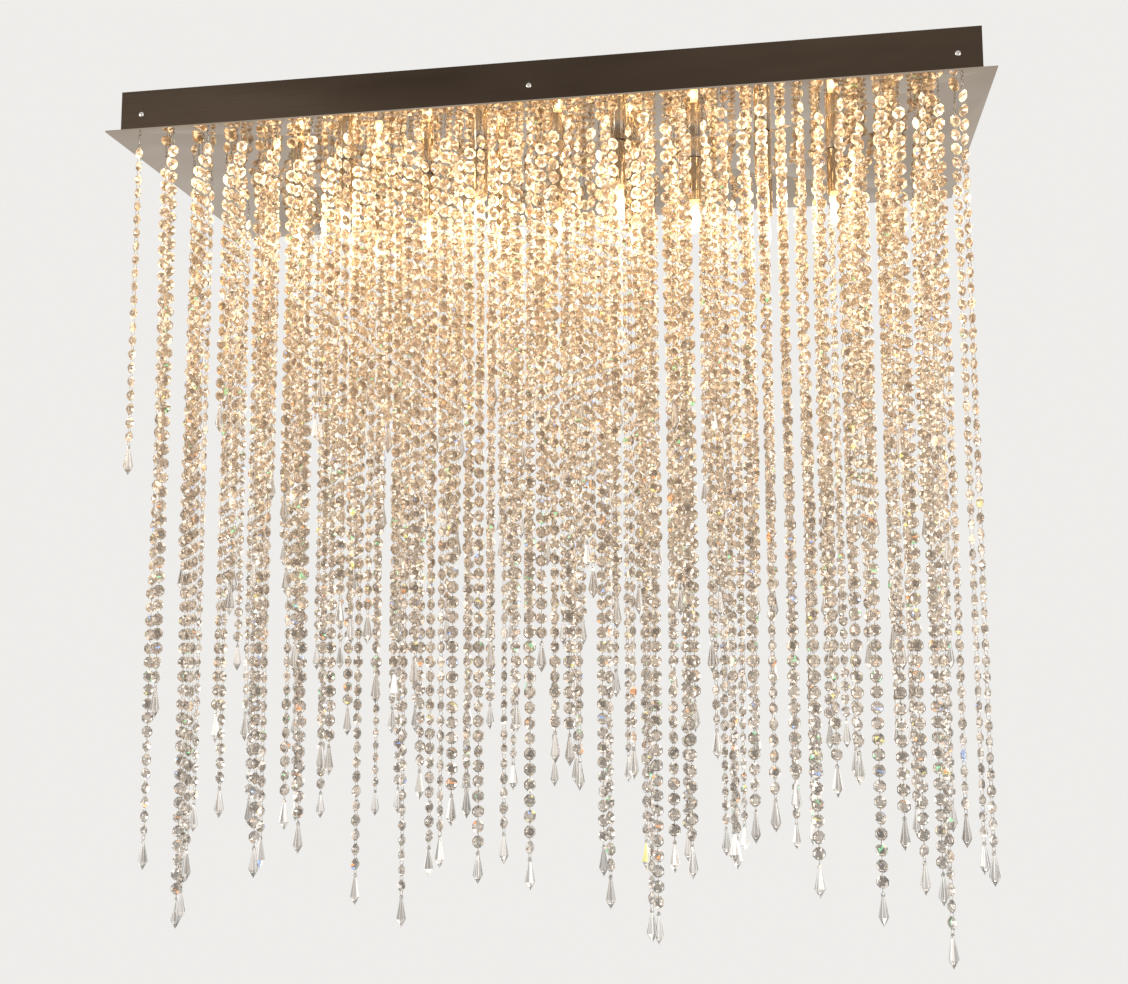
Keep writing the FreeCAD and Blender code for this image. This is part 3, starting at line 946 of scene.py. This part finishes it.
def paint_facet_tint_shade_and_light(piece, tables, edges, glow, darkest, fire_share):
    """Gives each facet its own tint with painted shade, and painted lamplight, highlights and
    glints. A table is one painted shade, and a polished edge gets a painted highlight."""
    facets = len(piece.data.polygons)
    copies = len(glow)
    lit = np.repeat(glow, len(tables))
    inner = np.tile(tables, copies)
    edge = np.tile(edges, copies)

    def drawn(limits, chosen):
        return dice.uniform(*limits, chosen.sum())

    # painted shade and painted warm lamplight in each facet's colour, and coloured fire painted as
    # tints
    tint_with_painted_light = clear_glass + (painted_lamplit_glass - clear_glass) * np.clip(0.10 + lit * 1.70, 0, 1)[:, None]
    dark = painted_shade_cool + (painted_shade_lamplit - painted_shade_cool) * np.clip(lit * 2.0, 0, 1)[:, None]
    shade = darkest + (1.12 - darkest) * dice.random(facets) ** 1.4
    shade[inner] = np.repeat(dice.uniform(*table_shades, copies), len(tables))[inner]
    tint_with_painted_light = dark + (tint_with_painted_light - dark) * shade[:, None]
    fire = dice.random(facets) < fire_share
    tint_with_painted_light[fire] = painted_fire_colours[dice.integers(0, len(painted_fire_colours), fire.sum())]

    # painted light set as emission: amber and pale glow near the lamps, bright facets, peach and
    # white glints, fire, and a painted highlight on a drop's polished edges
    light = amber_light * (lit * dice.uniform(*amber_range, facets))[:, None]
    light += pale_light * (lit * dice.uniform(*pale_range, facets))[:, None]
    bright = (dice.random(facets) < bright_share + bright_share_lit * lit) & ~inner
    light[bright] += pale_light * (drawn(bright_range, bright) * lit[bright])[:, None]
    peach = dice.random(facets) < 2 * fire_share
    light[peach] += peach_light * drawn(peach_range, peach)[:, None]
    sparkle = (dice.random(facets) < sparkle_share) & ~inner
    light[sparkle] += white_light * drawn(sparkle_range, sparkle)[:, None]
    light[fire] += 0.6 * tint_with_painted_light[fire]
    tint_with_painted_light[edge] = 1.0
    light[edge] = white_light * drawn(edge_range, edge)[:, None]

    paint_facets(piece.data, "facet_tint_painted_shade_and_glow", np.clip(tint_with_painted_light, 0, 1))
    paint_facets(piece.data, "painted_lamp_light", light)


# ---- strands: ten rows, each with a piece of beads, of pins, of chains, of drops and of hooks ----
first_bead = plate_under - chain_length - bead_width / 2
ring_height = (chain_length - hang_gap + bead_hole + 2 * chain_overlap) / chain_links


def hang_strands(strands):
    """The turn and place of every bead, pin, ring and drop of a row."""
    hung = {part: ([], []) for part in ("bead", "pin", "ring", "drop")}

    def hang(part, turn, place):
        turns, places = hung[part]
        turns.append(turn)
        places.append(place)

    for x, y, end in strands:
        beads = int(round((plate_under - chain_length - end) / bead_pitch))
        facing = dice.uniform(0, math.pi)
        twist = dice.normal(0, 0.035)
        angles = facing + twist * np.arange(beads) + dice.normal(0, 0.16, beads)
        leans = dice.normal(0, 0.05, beads)
        for number, (angle, lean) in enumerate(zip(angles, leans)):
            level = first_bead - number * bead_pitch
            turn = Matrix.Rotation(angle, 3, "Z") @ Matrix.Rotation(lean, 3, "X")
            hang("bead", np.array(turn), (x, y, level))
            hang("pin", turn_about_z(angle), (x, y, level - bead_pitch / 2))
        for link in range(chain_links):
            drop_down = ring_height / 2 + link * (ring_height - chain_overlap)
            hang("ring", turn_about_z(facing + (link % 2) * math.pi / 2),
                 (x, y, plate_under - hang_gap - drop_down))
        hang("drop", turn_about_z(dice.uniform(0, math.pi)), (x, y, end - drop_gap))
    return hung


def hooks_under_plate(ring, name, strands):
    """Flattened rings that stand out of the plate for the chains to hang from."""
    hooks = copy_to(ring, name, [turn_about_z(math.pi / 2)] * len(strands),
                    [(x, y, plate_under + hook_rise) for x, y, _ in strands])
    start_edit(hooks)
    bpy.ops.mesh.select_all(action="SELECT")
    bpy.ops.transform.resize(value=(1, 1, hook_squash), center_override=(0, 0, plate_under))
    end_edit()
    dress(hooks, "wire_chrome", "canopy")


def rows_of_strands():
    bead = bead_pattern()
    drop = drop_pattern()
    pin = wire_ring("pin", pin_width, bead_pitch - bead_width + 2 * bead_hole, pin_wire)
    ring = wire_ring("ring", ring_width, ring_height, ring_wire)
    for number in range(1, row_count + 1):
        tag = "%02d" % number
        body, rods, tips = "strands_" + tag, "strand_row_" + tag, "drop_row_" + tag
        strands = strand_places(rods)
        if number == 1:
            strands = strand_places("corner_links") + strands
        hung = hang_strands(strands)

        def stands_for(node, corner):
            """The CAD nodes of a piece. The first row's stands for the corner strand's too."""
            return (node, corner) if number == 1 else (node,)

        piece = copy_to(bead, "beads_row_" + tag, *hung["bead"])
        paint_facet_tint_shade_and_light(piece, flat_faces(bead), no_faces(bead), glow_at(hung["bead"][1]),
                    bead_darkest, bead_fire)
        dress(piece, "crystal", body, *stands_for(rods, "corner_beads"))
        piece = copy_to(pin, "pins_row_" + tag, *hung["pin"])
        dress(piece, "wire_chrome", body, *stands_for(rods, "corner_links"))
        piece = copy_to(ring, "chains_row_" + tag, *hung["ring"])
        dress(piece, "wire_chrome", body, *stands_for(rods, "corner_chain"))
        piece = copy_to(drop, "drops_row_" + tag, *hung["drop"])
        paint_facet_tint_shade_and_light(piece, no_faces(drop), polished_edges(drop),
                    drop_dimming * glow_at(hung["drop"][1]), drop_darkest, drop_fire)
        dress(piece, "crystal", body, *stands_for(tips, "corner_drop"))
        hooks_under_plate(ring, "hooks_row_" + tag, strands)
    for pattern in (bead, drop, pin, ring):
        put_away(pattern)


rows_of_strands()


# ---- floor, background and lights ----
floor_colour = (0.80, 0.79, 0.77)
backdrop_colour = (0.86, 0.85, 0.83)
backdrop_share = 0.8         # how much of the backdrop's colour the floor shows


def where_seen(tree):
    """1 for what the camera sees, also in metal and through glass."""
    path = tree.nodes.new("ShaderNodeLightPath")
    seen = path.outputs["Is Camera Ray"]
    for ray in ("Is Glossy Ray", "Is Transmission Ray"):
        either = tree.nodes.new("ShaderNodeMath")
        either.operation = "MAXIMUM"
        tree.links.new(seen, either.inputs[0])
        tree.links.new(path.outputs[ray], either.inputs[1])
        seen = either.outputs["Value"]
    return seen


def show_mixed(tree, first, second, share, output):
    """Shows the second shader by its share over the first one."""
    mix = tree.nodes.new("ShaderNodeMixShader")
    tree.links.new(share, mix.inputs["Fac"])
    tree.links.new(first.outputs[0], mix.inputs[1])
    tree.links.new(second.outputs[0], mix.inputs[2])
    tree.links.new(mix.outputs["Shader"], tree.nodes[output].inputs["Surface"])


def pale_floor():
    """Pale and faintly clouded. It shows most of the backdrop's colour, and some of the shadow."""
    finish, tree, shader = new_finish("pale_floor", floor_colour, roughness=0.9)
    clouds = grain(tree, 2.0)
    tree.links.new(two_tone(tree, clouds, dimmed(floor_colour, 0.97), floor_colour),
                   shader.inputs["Base Color"])
    backdrop = tree.nodes.new("ShaderNodeEmission")
    backdrop.inputs["Color"].default_value = (*backdrop_colour, 1)
    share = tree.nodes.new("ShaderNodeMath")
    share.operation = "MULTIPLY"
    share.inputs[1].default_value = backdrop_share
    tree.links.new(where_seen(tree), share.inputs[0])
    show_mixed(tree, shader, backdrop, share.outputs["Value"], "Material Output")
    return finish


def floor():
    deselect_all()
    bpy.ops.mesh.primitive_plane_add(size=floor_size, location=(0, 0.4, floor_level))
    ground = bpy.context.active_object
    ground.name = "floor"
    ground.data.materials.append(pale_floor())


def background():
    """One pale colour where it's seen, mirrored or seen through glass, and a softer one that
    lights the rest."""
    world = bpy.data.worlds.new("studio")
    bpy.context.scene.world = world
    world.use_nodes = True
    tree = world.node_tree
    soft = tree.nodes["Background"]
    soft.inputs["Color"].default_value = (1.0, 0.98, 0.95, 1)
    soft.inputs["Strength"].default_value = 0.55
    seen = tree.nodes.new("ShaderNodeBackground")
    seen.inputs["Color"].default_value = (*backdrop_colour, 1)
    seen.inputs["Strength"].default_value = 1.0
    show_mixed(tree, soft, seen, where_seen(tree), "World Output")


def soft_light(name, place, size, power):
    """An area light that faces the middle of the curtain."""
    light = bpy.data.objects.new(name, bpy.data.lights.new(name, "AREA"))
    bpy.context.scene.collection.objects.link(light)
    light.data.size = size
    light.data.energy = power
    light.location = place
    aim = Vector((0, 0, -0.5)) - Vector(place)
    light.rotation_euler = aim.to_track_quat("-Z", "Y").to_euler()


floor()
background()
soft_light("key", (-2.8, -2.1, 0.1), 1.6, 48.0)
soft_light("fill", (2.4, -1.6, -0.9), 1.8, 22.0)
soft_light("back", (0.6, 2.4, 1.5), 1.8, 25.0)
bpy.context.scene.view_settings.view_transform = "Standard"
